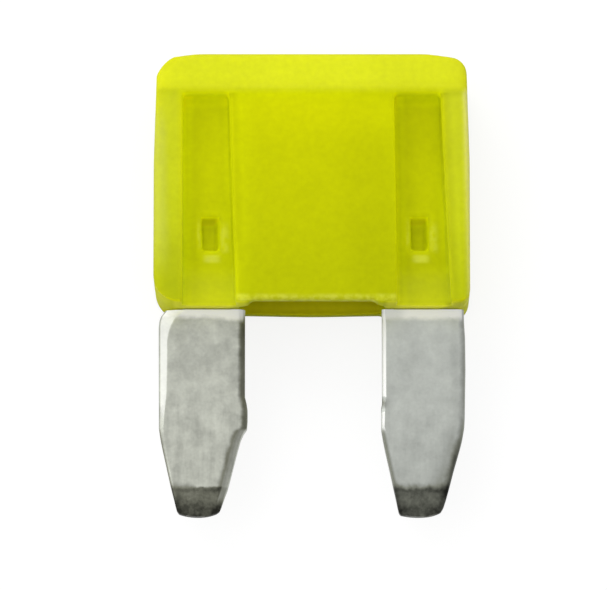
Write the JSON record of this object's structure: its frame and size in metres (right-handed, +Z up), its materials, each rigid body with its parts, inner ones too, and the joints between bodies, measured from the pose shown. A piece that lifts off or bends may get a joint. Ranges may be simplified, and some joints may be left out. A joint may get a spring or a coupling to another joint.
{
  "type": "automotive blade fuse",
  "caption": "Small plug-in blade fuse: a fusible link inside a translucent moulded housing, with flat metal terminal blades that push into a fuse holder.",
  "frame": {"origin": "middle of the outline, on the surface that the fuse lies on", "axes": "+X across the blades, +Y from the blade tips towards the head, +Z up out of the front face"},
  "size_m": [0.011, 0.016, 0.0036],
  "materials": {
    "housing_plastic": "translucent yellow, satin moulded",
    "element_metal": "tinned zinc alloy, stamped, dull"
  },
  "bodies": {
    "root": {"housing": "housing_plastic", "fuse_element": "element_metal"}
  },
  "joints": []
}
